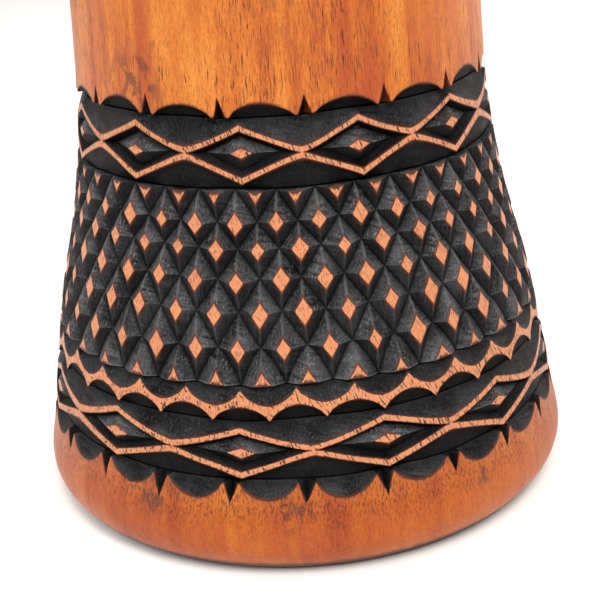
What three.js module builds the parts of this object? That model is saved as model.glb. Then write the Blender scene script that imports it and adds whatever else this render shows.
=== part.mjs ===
// A goblet drum: one hollow wooden shell with a carved foot, a goat-skin head held by two iron
// rings, and rope lacing that pulls the head down to a third ring at the waist.
// Millimetres, Z up, with the origin at the middle of the foot's underside.
// Angles are degrees round the drum: 0 at the front, which faces -Y, and growing towards +X.
import * as THREE from 'three';

// The wooden shell's outer radius at each height, and the hollow's.
const outerStations = [
  { z: 0, r: 106.5 }, // edge of the underside
  { z: 5, r: 112.5 },
  { z: 14, r: 118 }, // widest, just above the ground
  { z: 36, r: 115.5 },
  { z: 60, r: 111.5 },
  { z: 96, r: 104.5 },
  { z: 132, r: 95.4 },
  { z: 168, r: 89.3 },
  { z: 204, r: 86.9 },
  { z: 253, r: 85.7 }, // waist
  { z: 275, r: 86 },
  { z: 300, r: 90 },
  { z: 350, r: 105 },
  { z: 420, r: 127.5 },
  { z: 480, r: 140 },
  { z: 540, r: 151 },
  { z: 580, r: 155.5 },
  { z: 600, r: 157 }, // under the rim
];
const hollowStations = [
  { z: 0, r: 88 }, // mouth in the foot
  { z: 130, r: 72 },
  { z: 200, r: 64 },
  { z: 262, r: 61 }, // throat
  { z: 310, r: 70 },
  { z: 350, r: 86 },
  { z: 420, r: 111 },
  { z: 596, r: 145 }, // just inside the rim
];
const plainSides = 36;
const hollowSides = 24;
const stemHeights = [600, 556, 490, 420, 350, 310, 283, 240, 197];
const footHeights = [30, 14, 5, 0];
const hollowHeights = [0, 130, 200, 262, 310, 350, 420, 596];
const rim = { z: 603, outerRadius: 154, innerRadius: 149 };

// Ring grooves between the carved bands, each as deep as the chips that end in it.
const groove = { depth: 3, mouth: 1.4, floor: 0.6 };
const grooveHeights = { first: 183.7, second: 156.3, third: 81.6, fourth: 67.6, fifth: 43.5 };

// Bands of long pointed notches with a scooped scallop between each two.
const topNotches = {
  count: 17,
  start: 5.1,
  line: grooveHeights.first,
  direction: 1,
  notchWidth: 3.6,
  notchLength: 8.5,
  scallopWidth: 16.5,
  scallopHeight: 4.2,
};
const bottomNotches = {
  count: 23,
  start: -0.4,
  line: grooveHeights.fifth,
  direction: -1,
  notchWidth: 3.2,
  notchLength: 9.6,
  scallopWidth: 12,
  scallopHeight: 7,
};
const notchExtraDepth = 0.8;
const scallopSteps = 3;

// Two bands of lozenges between crossing ribbons left at full height.
const upperLozenges = {
  count: 12,
  start: -11.3,
  top: grooveHeights.first,
  bottom: grooveHeights.second,
  reach: 11.9,
};
const lowerLozenges = {
  count: 12,
  start: -13.8,
  top: grooveHeights.fourth,
  bottom: grooveHeights.fifth,
  reach: 10.7,
};
const ribbon = { crossingHalf: 3, height: 3.1, holeShare: 0.94, bend: 1.3, bendAt: 0.66 };
const lozengeValley = { across: 0.66, up: 0.68 };
const lozengeTop = { across: 0.17, up: 0.2 };

// The lattice of cut-off pyramids: diamonds in staggered rows, halved at the first and last row.
const lattice = {
  count: 36,
  start: -3.4,
  rowHeights: [143.9, 133.8, 121.9, 109.7, 96.1],
  topAcross: 0.36,
  topUp: 0.4,
  halfTopAcross: 0.6,
  halfTopUp: 0.45,
};

// The plain wavy ribbon between scallops that hang from one groove and stand on the next.
const scallops = {
  count: 30,
  upperStart: -1.3,
  lowerStart: 4.6,
  upperHeight: 6.6,
  lowerHeight: 5.4,
};

// The head: skin over the rim, folded round the flesh ring, under the crown ring.
const gap = 0.3;
const skin = { thickness: 1, hemHeight: 560 };
const fleshRing = { z: 556, wire: 3.5, sides: 4 };
const crownRing = { z: 564.6, wire: 4, sides: 4 };
const waistRing = { z: 283, wire: 3.5, sides: 4 };

// Rope: loops hang from the crown ring and stand on the waist ring, and the lacing joins them.
const rope = { radius: 2.6, sides: 4, crossing: 5.7 };
const loops = { count: 22, halfWidth: 7, crownDrop: 36, waistRise: 26 };
const lacingHalfWidth = 4.2;
const ropeCone = { lowRadius: 97.6, lowHeight: waistRing.z, highRadius: 168.6, highHeight: 566 };

function radiusFrom(stations) {
  const heights = stations.map((station) => station.z);
  const radii = stations.map((station) => station.r);
  const curve = new THREE.CubicInterpolant(heights, radii, 1, new Float32Array(1));
  return (z) => curve.evaluate(z)[0];
}

const outerRadius = radiusFrom(outerStations);
const hollowRadius = radiusFrom(hollowStations);

// A closed surface put together from points and rings of points round the drum.
class RingSurface {
  constructor() {
    this.positions = [];
    this.faces = [];
  }

  point(angle, z, radius) {
    const turn = THREE.MathUtils.degToRad(angle);
    const place = new THREE.Vector3(radius * Math.sin(turn), -radius * Math.cos(turn), z);
    return this.keep(place, angle);
  }

  keep(place, angle = 0) {
    this.positions.push(place.x, place.y, place.z);
    return { angle, place, index: this.positions.length / 3 - 1 };
  }

  // A point on the wood's outside, or depth below it.
  carved(angle, z, depth = 0) {
    return this.point(angle, z, outerRadius(z) - depth);
  }

  ring(count, z, radius) {
    return Array.from({ length: count }, (_, i) => this.point((i * 360) / count, z, radius));
  }

  // A flat face, its corners anticlockwise as seen from outside.
  face(...corners) {
    for (let i = 2; i < corners.length; i += 1) {
      this.faces.push(corners[0].index, corners[i - 1].index, corners[i].index);
    }
  }

  // Triangles between two closed rings. On the outside the first ring is the upper one.
  join(upper, lower) {
    const turnedFrom = (start, point) => THREE.MathUtils.euclideanModulo(point.angle - start.angle, 360);
    const apart = (point) => THREE.MathUtils.euclideanModulo(turnedFrom(upper[0], point) + 180, 360) - 180;
    let first = 0;
    lower.forEach((point, i) => {
      if (Math.abs(apart(point)) < Math.abs(apart(lower[first]))) first = i;
    });
    const shifted = lower.map((_, i) => lower[(first + i) % lower.length]);
    const walk = (ring, start) => {
      return [...ring.map((point) => start + turnedFrom(ring[0], point)), start + 360];
    };
    const upperAngles = walk(upper, 0);
    const lowerAngles = walk(shifted, apart(shifted[0]));
    let u = 0;
    let l = 0;
    while (u < upper.length || l < shifted.length) {
      const here = upper[u % upper.length];
      const below = shifted[l % shifted.length];
      const nextUpper = upper[(u + 1) % upper.length];
      const nextLower = shifted[(l + 1) % shifted.length];
      const lead = upperAngles[u + 1] - lowerAngles[l + 1];
      const shorter = nextUpper.place.distanceTo(below.place) < nextLower.place.distanceTo(here.place);
      const goUpper = Math.abs(lead) < 0.01 ? shorter : lead < 0;
      if (l === shifted.length || (u < upper.length && goUpper)) {
        this.face(here, below, nextUpper);
        u += 1;
      } else {
        this.face(here, below, nextLower);
        l += 1;
      }
    }
  }

  // Joins each ring to the next, and the last to the first.
  joinAll(rings) {
    rings.forEach((ring, i) => this.join(ring, rings[(i + 1) % rings.length]));
  }

  geometry() {
    const geometry = new THREE.BufferGeometry();
    geometry.setAttribute('position', new THREE.Float32BufferAttribute(this.positions, 3));
    geometry.setIndex(this.faces);
    geometry.computeVertexNormals();
    return geometry;
  }
}

// A round hill over a width of 1: 0 at both ends and 1 in the middle.
function hill(share) {
  return Math.sin(Math.PI * share);
}

// One scallop's edge from its first cusp, without the last cusp.
function scallopEdge(surface, start, width, line, height) {
  return Array.from({ length: scallopSteps }, (_, i) => {
    const share = i / scallopSteps;
    return surface.carved(start + share * width, line + height * hill(share));
  });
}

// Returns the band's edge at full height and its ring in the groove.
function notchBand(surface, band) {
  const period = 360 / band.count;
  const edgeLine = band.line + (band.direction * groove.mouth) / 2;
  const floorLine = band.line + (band.direction * groove.floor) / 2;
  const edge = [];
  const floor = [];
  for (let i = 0; i < band.count; i += 1) {
    const middle = band.start + i * period;
    const cusp = middle + (period - band.scallopWidth) / 2;
    edge.push(
      surface.carved(middle - band.notchWidth / 2, edgeLine),
      surface.carved(middle, edgeLine + band.direction * band.notchLength),
      surface.carved(middle + band.notchWidth / 2, edgeLine),
      ...scallopEdge(surface, cusp, band.scallopWidth, edgeLine, band.direction * band.scallopHeight),
      surface.carved(cusp + band.scallopWidth, edgeLine),
    );
    floor.push(
      surface.carved(middle, floorLine, groove.depth + notchExtraDepth),
      surface.carved(cusp, floorLine, groove.depth),
      surface.carved(cusp + band.scallopWidth, floorLine, groove.depth),
    );
  }
  return { edge, floor };
}

// Lozenges in a row. Each has a valley inside its ribbons and a low pyramid in the middle.
function lozengeBand(surface, band) {
  const half = 180 / band.count;
  const middle = (band.top + band.bottom) / 2;
  const edgeRise = (share) => {
    return ribbon.crossingHalf + (band.reach - ribbon.crossingHalf) * (1 - share) ** ribbon.bend;
  };
  const rings = { top: [], upperEdge: [], upperHole: [], lowerHole: [], lowerEdge: [], bottom: [] };
  for (let i = 0; i < band.count; i += 1) {
    const centre = band.start + i * 2 * half;
    for (const step of [-1, 0]) {
      const angle = centre + step * half;
      rings.top.push(surface.carved(angle, band.top - groove.floor / 2, groove.depth));
      rings.bottom.push(surface.carved(angle, band.bottom + groove.floor / 2, groove.depth));
    }
    for (const share of [-1, -ribbon.bendAt, 0, ribbon.bendAt]) {
      const rise = edgeRise(Math.abs(share));
      rings.upperEdge.push(surface.carved(centre + share * half, middle + rise));
      rings.lowerEdge.push(surface.carved(centre + share * half, middle - rise));
    }
    const diamond = (across, up, depth) => ({
      left: surface.carved(centre - across, middle, depth),
      top: surface.carved(centre, middle + up, depth),
      right: surface.carved(centre + across, middle, depth),
      bottom: surface.carved(centre, middle - up, depth),
    });
    const hole = diamond(ribbon.holeShare * half, band.reach - ribbon.height, 0);
    const valley = diamond(lozengeValley.across * half, lozengeValley.up * band.reach, groove.depth);
    const peak = diamond(lozengeTop.across * half, lozengeTop.up * band.reach, 0);
    diamondSlopes(surface, hole, valley);
    diamondSlopes(surface, valley, peak);
    surface.face(peak.left, peak.bottom, peak.right, peak.top);
    rings.upperHole.push(hole.left, hole.top, hole.right);
    rings.lowerHole.push(hole.left, hole.bottom, hole.right);
  }
  surface.join(rings.top, rings.upperEdge);
  surface.join(rings.upperEdge, rings.upperHole);
  surface.join(rings.lowerHole, rings.lowerEdge);
  surface.join(rings.lowerEdge, rings.bottom);
  return rings;
}

// The four sloping sides between an outer and an inner diamond.
function diamondSlopes(surface, outer, inner) {
  surface.face(outer.left, inner.left, inner.top, outer.top);
  surface.face(outer.top, inner.top, inner.right, outer.right);
  surface.face(outer.right, inner.right, inner.bottom, outer.bottom);
  surface.face(outer.bottom, inner.bottom, inner.left, outer.left);
}

function latticeBand(surface) {
  const period = 360 / lattice.count;
  const first = grooveHeights.second - groove.floor / 2;
  const last = grooveHeights.third + groove.floor / 2;
  const heights = [first, ...lattice.rowHeights, last];
  const isOdd = (row) => row % 2 === 1;
  const centreOf = (row, i) => lattice.start + (isOdd(row) ? i : i + 0.5) * period;
  // The valleys cross halfway between the diamonds of a row.
  const crossings = heights.map((z, row) => {
    return Array.from({ length: lattice.count }, (_, i) => {
      return surface.carved(centreOf(row + 1, i), z, groove.depth);
    });
  });
  const wrap = (i) => (i + lattice.count) % lattice.count;
  heights.forEach((z, row) => {
    for (let i = 0; i < lattice.count; i += 1) {
      const centre = centreOf(row, i);
      const before = isOdd(row) ? wrap(i - 1) : i;
      const corners = {
        left: crossings[row][before],
        right: crossings[row][wrap(before + 1)],
        top: row > 0 ? crossings[row - 1][i] : null,
        bottom: row < heights.length - 1 ? crossings[row + 1][i] : null,
      };
      if (corners.top && corners.bottom) {
        fullPyramid(surface, corners, centre, z, period);
      } else {
        halfPyramid(surface, corners, centre, z, period);
      }
    }
  });
  return { top: crossings[0], bottom: crossings[crossings.length - 1] };
}

function fullPyramid(surface, corners, centre, z, period) {
  const across = (lattice.topAcross * period) / 2;
  const peak = {
    left: surface.carved(centre - across, z),
    top: surface.carved(centre, z + lattice.topUp * (corners.top.place.z - z)),
    right: surface.carved(centre + across, z),
    bottom: surface.carved(centre, z - lattice.topUp * (z - corners.bottom.place.z)),
  };
  diamondSlopes(surface, corners, peak);
  surface.face(peak.left, peak.bottom, peak.right, peak.top);
}

// Half a pyramid, cut off by the groove at the lattice's edge.
function halfPyramid(surface, corners, centre, z, period) {
  const across = (lattice.halfTopAcross * period) / 2;
  const tip = corners.top ?? corners.bottom;
  const away = Math.sign(tip.place.z - z);
  const edge = z + (away * (groove.mouth - groove.floor)) / 2;
  const left = surface.carved(centre - across, edge);
  const right = surface.carved(centre + across, edge);
  const peak = surface.carved(centre, z + lattice.halfTopUp * (tip.place.z - z));
  if (away > 0) {
    surface.face(left, right, peak);
    surface.face(corners.left, corners.right, right, left);
    surface.face(corners.left, left, peak, tip);
    surface.face(corners.right, tip, peak, right);
  } else {
    surface.face(left, peak, right);
    surface.face(corners.left, left, right, corners.right);
    surface.face(corners.left, tip, peak, left);
    surface.face(corners.right, right, peak, tip);
  }
}

function scallopBand(surface) {
  const period = 360 / scallops.count;
  const upperLine = grooveHeights.third - groove.mouth / 2;
  const lowerLine = grooveHeights.fourth + groove.mouth / 2;
  const rings = { top: [], upperEdge: [], lowerEdge: [], bottom: [] };
  for (let i = 0; i < scallops.count; i += 1) {
    const upper = scallops.upperStart + i * period;
    const lower = scallops.lowerStart + i * period;
    rings.top.push(surface.carved(upper, grooveHeights.third - groove.floor / 2, groove.depth));
    rings.upperEdge.push(...scallopEdge(surface, upper, period, upperLine, -scallops.upperHeight));
    rings.lowerEdge.push(...scallopEdge(surface, lower, period, lowerLine, scallops.lowerHeight));
    rings.bottom.push(surface.carved(lower, grooveHeights.fourth + groove.floor / 2, groove.depth));
  }
  surface.join(rings.top, rings.upperEdge);
  surface.join(rings.upperEdge, rings.lowerEdge);
  surface.join(rings.lowerEdge, rings.bottom);
  return rings;
}

// The shell as rings from the rim down the outside, under the foot and up the hollow.
function makeShell() {
  const surface = new RingSurface();
  const stem = stemHeights.map((z) => surface.ring(plainSides, z, outerRadius(z)));
  const top = notchBand(surface, topNotches);
  const upper = lozengeBand(surface, upperLozenges);
  const middle = latticeBand(surface);
  const wavy = scallopBand(surface);
  const lower = lozengeBand(surface, lowerLozenges);
  const bottom = notchBand(surface, bottomNotches);
  const foot = footHeights.map((z) => surface.ring(plainSides, z, outerRadius(z)));
  const hollow = hollowHeights.map((z) => surface.ring(hollowSides, z, hollowRadius(z)));
  const innerRim = surface.ring(hollowSides, rim.z, rim.innerRadius);
  const outerRim = surface.ring(plainSides, rim.z, rim.outerRadius);

  const plain = [...foot, ...hollow, innerRim, outerRim, ...stem];
  for (let i = 1; i < plain.length; i += 1) {
    surface.join(plain[i - 1], plain[i]);
  }
  surface.join(stem[stem.length - 1], top.edge);
  surface.join(top.edge, top.floor);
  surface.join(top.floor, upper.top);
  surface.join(upper.bottom, middle.top);
  surface.join(middle.bottom, wavy.top);
  surface.join(wavy.bottom, lower.top);
  surface.join(lower.bottom, bottom.floor);
  surface.join(bottom.floor, bottom.edge);
  surface.join(bottom.edge, foot[0]);
  return surface.geometry();
}

// The skin's path from the middle of the head, over the rim, down the bowl and round the flesh ring.
function skinPath() {
  const half = skin.thickness / 2;
  const fold = ringRadius(fleshRing, skin.thickness + gap);
  const underFold = fleshRing.z - fleshRing.wire - gap - half;
  const outsideFold = fold + fleshRing.wire + gap + half;
  return [
    new THREE.Vector2(0, rim.z + gap + half),
    new THREE.Vector2(rim.outerRadius + gap, rim.z + gap + half),
    new THREE.Vector2(outerRadius(stemHeights[0]) + gap + half, stemHeights[0] + gap),
    new THREE.Vector2(outerRadius(fleshRing.z) + gap + half, fleshRing.z),
    new THREE.Vector2(fold, underFold),
    new THREE.Vector2(outsideFold, fleshRing.z),
    new THREE.Vector2(outsideFold, skin.hemHeight),
  ];
}

function makeSkin() {
  const path = skinPath();
  const normals = path.map((point, i) => {
    const before = path[Math.max(i - 1, 0)];
    const after = path[Math.min(i + 1, path.length - 1)];
    const along = after.clone().sub(before).normalize();
    return new THREE.Vector2(-along.y, along.x);
  });
  const side = (sign) => path.map((point, i) => {
    return point.clone().addScaledVector(normals[i], (sign * skin.thickness) / 2);
  });
  const surface = new RingSurface();
  const [topCentre, ...outside] = side(1);
  const [lowCentre, ...inside] = side(-1);
  const rings = [...outside, ...inside.reverse()].map(({ x, y }) => surface.ring(plainSides, y, x));
  for (let i = 1; i < rings.length; i += 1) {
    surface.join(rings[i - 1], rings[i]);
  }
  const top = surface.point(0, topCentre.y, 0);
  const low = surface.point(0, lowCentre.y, 0);
  closeWithFan(surface, rings[0], top, false);
  closeWithFan(surface, rings[rings.length - 1], low, true);
  return surface.geometry();
}

function closeWithFan(surface, ring, centre, fromBelow) {
  ring.forEach((point, i) => {
    const next = ring[(i + 1) % ring.length];
    if (fromBelow) surface.face(point, centre, next);
    else surface.face(point, next, centre);
  });
}

// A wire ring lies against the wood, or against a layer on the wood.
function ringRadius(wireRing, layer) {
  return outerRadius(wireRing.z) + gap + layer + wireRing.wire;
}

function makeWireRing(wireRing, layer) {
  const radius = ringRadius(wireRing, layer);
  const surface = new RingSurface();
  const rings = Array.from({ length: wireRing.sides }, (_, i) => {
    const turn = (i * 2 * Math.PI) / wireRing.sides;
    const z = wireRing.z - wireRing.wire * Math.sin(turn);
    return surface.ring(plainSides, z, radius + wireRing.wire * Math.cos(turn));
  });
  surface.joinAll(rings);
  return surface.geometry();
}

// A place on the cone that the ropes lie on: across in millimetres along the turn from an angle,
// a height, and how far off the cone.
function onCone(angle, across, z, off = 0) {
  const slope = (ropeCone.highRadius - ropeCone.lowRadius) / (ropeCone.highHeight - ropeCone.lowHeight);
  const lean = Math.atan(slope);
  const radius = ropeCone.lowRadius + (z - ropeCone.lowHeight) * slope + off * Math.cos(lean);
  const turn = THREE.MathUtils.degToRad(angle) + across / radius;
  return new THREE.Vector3(
    radius * Math.sin(turn),
    -radius * Math.cos(turn),
    z - off * Math.sin(lean),
  );
}

// A closed rope through the given corners, with mitred bends.
function makeRope(corners) {
  const surface = new RingSurface();
  const count = corners.length;
  const sections = corners.map((corner, i) => {
    const arriving = corner.clone().sub(corners[(i + count - 1) % count]).normalize();
    const leaving = corners[(i + 1) % count].clone().sub(corner).normalize();
    const along = arriving.clone().add(leaving).normalize();
    const out = new THREE.Vector3(corner.x, corner.y, 0).normalize();
    out.addScaledVector(along, -out.dot(along)).normalize();
    const sideways = along.clone().cross(out).normalize();
    const stretch = 1 / Math.sqrt((1 + arriving.dot(leaving)) / 2);
    return Array.from({ length: rope.sides }, (_, side) => {
      const turn = (side * 2 * Math.PI) / rope.sides;
      const place = corner.clone().addScaledVector(out, rope.radius * Math.cos(turn));
      place.addScaledVector(sideways, rope.radius * stretch * Math.sin(turn));
      return surface.keep(place);
    });
  });
  sections.forEach((section, i) => {
    const next = sections[(i + 1) % count];
    section.forEach((point, side) => {
      const other = (side + 1) % rope.sides;
      surface.face(point, section[other], next[other], next[side]);
    });
  });
  return surface.geometry();
}

// One rope that runs round outside a ring and makes a loop at each step.
function makeLoops(ringHeight, reach) {
  const corners = [];
  for (let i = 0; i < loops.count; i += 1) {
    const angle = ((i + 0.5) * 360) / loops.count;
    corners.push(
      onCone(angle, -loops.halfWidth, ringHeight),
      onCone(angle, -loops.halfWidth, ringHeight + reach),
      onCone(angle, loops.halfWidth, ringHeight + reach),
      onCone(angle, loops.halfWidth, ringHeight),
    );
  }
  return makeRope(corners);
}

// The lacing goes up through a crown loop from the outside, comes down behind it, and does the
// same at the waist half a step further on.
function makeLacing() {
  const topBend = ropeCone.highHeight - loops.crownDrop + rope.crossing;
  const lowBend = ropeCone.lowHeight + loops.waistRise - rope.crossing;
  const corners = [];
  for (let i = 0; i < loops.count; i += 1) {
    const crownAngle = ((i + 0.5) * 360) / loops.count;
    const waistAngle = ((i + 1.5) * 360) / loops.count;
    corners.push(
      onCone(crownAngle, -lacingHalfWidth, topBend, rope.crossing),
      onCone(crownAngle, lacingHalfWidth, topBend, -rope.crossing),
      onCone(waistAngle, -lacingHalfWidth, lowBend, rope.crossing),
      onCone(waistAngle, lacingHalfWidth, lowBend, -rope.crossing),
    );
  }
  return makeRope(corners);
}

function makeMesh(name, geometry, color, roughness, metalness = 0) {
  const material = new THREE.MeshStandardMaterial({ color, roughness, metalness });
  const mesh = new THREE.Mesh(geometry, material);
  mesh.name = name;
  return mesh;
}

const underRings = skin.thickness + gap;
const group = new THREE.Group();
group.add(
  makeMesh('shell', makeShell(), 0xb8682f, 0.45),
  makeMesh('skin_head', makeSkin(), 0xe2d2b0, 0.6),
  makeMesh('flesh_ring', makeWireRing(fleshRing, underRings), 0x3a3a3a, 0.5, 0.8),
  makeMesh('crown_ring', makeWireRing(crownRing, underRings), 0x2a2a2a, 0.5, 0.8),
  makeMesh('waist_ring', makeWireRing(waistRing, 0), 0x2a2a2a, 0.5, 0.8),
  makeMesh('crown_loops', makeLoops(ropeCone.highHeight, -loops.crownDrop), 0x1c1c1c, 0.8),
  makeMesh('waist_loops', makeLoops(ropeCone.lowHeight, loops.waistRise), 0x1c1c1c, 0.8),
  makeMesh('lacing', makeLacing(), 0x1c1c1c, 0.8),
);

export default group;
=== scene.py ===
import math
import random
from functools import partial

import bmesh
import bpy
import numpy as np
from mathutils import Matrix, Vector, noise


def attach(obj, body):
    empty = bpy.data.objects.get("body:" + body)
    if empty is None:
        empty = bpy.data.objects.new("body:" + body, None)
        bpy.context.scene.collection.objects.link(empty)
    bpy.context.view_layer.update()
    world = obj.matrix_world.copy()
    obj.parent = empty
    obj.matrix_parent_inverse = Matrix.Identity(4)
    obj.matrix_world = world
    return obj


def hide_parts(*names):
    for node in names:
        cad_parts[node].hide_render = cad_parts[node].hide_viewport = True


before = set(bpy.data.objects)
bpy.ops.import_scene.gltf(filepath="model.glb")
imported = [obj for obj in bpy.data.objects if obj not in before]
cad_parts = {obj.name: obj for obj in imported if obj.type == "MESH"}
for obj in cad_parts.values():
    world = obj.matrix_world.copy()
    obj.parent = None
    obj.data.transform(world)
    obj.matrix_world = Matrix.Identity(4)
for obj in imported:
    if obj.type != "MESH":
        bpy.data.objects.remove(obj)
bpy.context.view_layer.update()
mm = 0.001


# Helpers

def linearColour(text):
    # sRGB hex to the linear colour that the nodes work in
    parts = [int(text[i:i + 2], 16) / 255 for i in (1, 3, 5)]
    return [p / 12.92 if p <= 0.04045 else ((p + 0.055) / 1.055) ** 2.4 for p in parts] + [1.0]


# short names for the nodes used most: Blender's name, settings, the inputs filled in order, the output
nodeKinds = {
    "range": ("ShaderNodeMapRange", {}, range(5), 0),
    "mix": ("ShaderNodeMix", {"data_type": "RGBA"}, (0, 6, 7), 2),
    "place": ("ShaderNodeTexCoord", {}, (), "Object"),
    "facing": ("ShaderNodeTexCoord", {}, (), "Normal"),
    "across": ("ShaderNodeSeparateXYZ", {}, (0,), "X"),
    "up": ("ShaderNodeSeparateXYZ", {}, (0,), "Z"),
    "attribute": ("ShaderNodeAttribute", {}, (), "Fac"),
    "distance": ("ShaderNodeVectorMath", {"operation": "DISTANCE"}, (0, 1), "Value"),
    "scaled": ("ShaderNodeVectorMath", {"operation": "SCALE"}, (0, "Scale"), 0),
}
mathWords = "add subtract multiply divide power minimum maximum absolute round cosine"
for word in mathWords.split():
    nodeKinds[word] = ("ShaderNodeMath", {"operation": word.upper()}, (0, 1), 0)


def setInputs(tree, node, values):
    # sockets are linked, hex colours turned linear, and other values set as they are
    for name, value in values.items():
        if isinstance(value, bpy.types.NodeSocket):
            tree.links.new(value, node.inputs[name])
        elif isinstance(value, str) and value.startswith("#"):
            node.inputs[name].default_value = linearColour(value)
        else:
            node.inputs[name].default_value = value


def addNode(tree, kind, *values, named=None, **settings):
    # values fill the inputs in order and named ones go by name; gives back the node's main output
    kind, own, sockets, output = nodeKinds.get(kind, (kind, {}, range(len(values)), 0))
    node = tree.nodes.new(kind)
    for name, value in {**own, **settings}.items():
        setattr(node, name, value)
    setInputs(tree, node, {**dict(zip(sockets, values)), **(named or {})})
    return node.outputs[output] if node.outputs else None


def newTree(name, inputs):
    # a Geometry Nodes tree with named inputs: name -> (socket type, default)
    tree = bpy.data.node_groups.new(name, "GeometryNodeTree")
    tree.interface.new_socket("Geometry", in_out="INPUT", socket_type="NodeSocketGeometry")
    for label, (kind, value) in inputs.items():
        socket = tree.interface.new_socket(label, in_out="INPUT", socket_type=kind)
        if value is not None:
            socket.default_value = value
    tree.interface.new_socket("Geometry", in_out="OUTPUT", socket_type="NodeSocketGeometry")
    node = partial(addNode, tree)
    return tree, node, node("NodeGroupInput").node.outputs


def bakeTree(piece, tree, values):
    # runs the tree on the piece and leaves a plain mesh behind
    modifier = piece.modifiers.new(tree.name, "NODES")
    modifier.node_group = tree
    for item in tree.interface.items_tree:
        if item.in_out == "INPUT" and item.name in values:
            modifier[item.identifier] = values[item.name]
    depsgraph = bpy.context.evaluated_depsgraph_get()
    mesh = bpy.data.meshes.new_from_object(piece.evaluated_get(depsgraph), depsgraph=depsgraph)
    mesh.name = piece.name
    piece.modifiers.remove(modifier)
    piece.data = mesh


def addPiece(name, mesh):
    piece = bpy.data.objects.new(name, mesh)
    bpy.context.scene.collection.objects.link(piece)
    return piece


def meshFrom(name, points, faces, edges=()):
    mesh = bpy.data.meshes.new(name)
    mesh.from_pydata([Vector(p) * mm for p in points], edges, faces)
    mesh.update()
    return mesh


def turnOutwards(mesh):
    work = bmesh.new()
    work.from_mesh(mesh)
    bmesh.ops.recalc_face_normals(work, faces=work.faces)
    work.to_mesh(mesh)
    work.free()


def around(turn, radius, z):
    # the place at a turn round the drum, in radians from the front
    return radius * math.sin(turn), -radius * math.cos(turn), z


def radiusFrom(stations):
    # a smooth curve through (height, radius) stations, as a function of the height
    heights, radii = np.array(stations, float).T
    slopes = np.diff(radii) / np.diff(heights)
    leans = np.concatenate([slopes[:1], (slopes[1:] + slopes[:-1]) / 2, slopes[-1:]])

    def radius(height):
        height = np.asarray(height, float)
        i = np.clip(np.searchsorted(heights, height, side="right") - 1, 0, len(slopes) - 1)
        step = heights[i + 1] - heights[i]
        t = np.clip((height - heights[i]) / step, 0, 1)
        start = (2 * t**3 - 3 * t**2 + 1) * radii[i] + (t**3 - 2 * t**2 + t) * step * leans[i]
        end = (3 * t**2 - 2 * t**3) * radii[i + 1] + (t**3 - t**2) * step * leans[i + 1]
        return start + end

    return radius


# Camera, lights and floor

studio = {
    "cameraPlace": (0, -603, 306.5),
    "lookDown": 20.9,
    "turn": 0.14,             # left or right of straight ahead
    "roll": -4.03,            # the photograph leans a little
    "lens": 84,
    "sensor": 36,
    "floorSize": 12000,
    "lights": {
        # place, what it faces, size across, watts, colour
        "key": ((330, -1350, 1650), (0, 0, 120), 900, 32, "#fffaf4"),
        "fill": ((-1300, -1300, 1300), (0, 0, 150), 1200, 10, "#f8f9ff"),
        "top": ((-300, -600, 2600), (-100, -300, 0), 3200, 57, "#ffffff"),
        "leftEdge": ((-1500, 700, 700), (0, 0, 200), 1000, 10, "#fff4ea"),
        "rightEdge": ((1500, 700, 700), (0, 0, 200), 1000, 13, "#fff4ea"),
    },
    "world": ("#ffffff", 0.4),
}


def makeCamera():
    camera = bpy.data.objects.new("camera", bpy.data.cameras.new("camera"))
    camera.data.lens = studio["lens"]
    camera.data.sensor_width = studio["sensor"]
    turn = Matrix.Rotation(math.radians(-studio["turn"]), 4, "Z")
    tilt = Matrix.Rotation(math.radians(90 - studio["lookDown"]), 4, "X")
    roll = Matrix.Rotation(math.radians(studio["roll"]), 4, "Z")
    place = Matrix.Translation(Vector(studio["cameraPlace"]) * mm)
    camera.matrix_world = place @ turn @ tilt @ roll
    bpy.context.scene.collection.objects.link(camera)
    bpy.context.scene.camera = camera


def makeLights():
    for name, (place, target, size, watts, colour) in studio["lights"].items():
        light = bpy.data.objects.new(name, bpy.data.lights.new(name, "AREA"))
        light.data.size = size * mm
        light.data.energy = watts
        light.data.color = linearColour(colour)[:3]
        light.location = Vector(place) * mm
        facing = Vector(target) - Vector(place)
        light.rotation_euler = facing.to_track_quat("-Z", "Y").to_euler()
        bpy.context.scene.collection.objects.link(light)
    world = bpy.data.worlds.new("pale room")
    world.use_nodes = True
    colour, strength = studio["world"]
    background = world.node_tree.nodes["Background"]
    background.inputs["Color"].default_value = linearColour(colour)
    background.inputs["Strength"].default_value = strength
    bpy.context.scene.world = world
    bpy.context.scene.view_settings.view_transform = "Standard"


def makeFloor():
    half = studio["floorSize"] / 2
    corners = [(-half, -half, 0), (half, -half, 0), (half, half, 0), (-half, half, 0)]
    floor = addPiece("floor", meshFrom("floor", corners, [(0, 1, 2, 3)]))
    paper = bpy.data.materials.new("matt white paper")
    paper.use_nodes = True
    shader = paper.node_tree.nodes["Principled BSDF"]
    shader.inputs["Base Color"].default_value = linearColour("#fbfaf8")
    shader.inputs["Roughness"].default_value = 0.9
    shader.inputs["Specular IOR Level"].default_value = 0.1
    floor.data.materials.append(paper)


makeCamera()
makeLights()
makeFloor()
print("camera, lights and floor are in place")


# The shell's sizes, which its wood needs too

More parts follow.
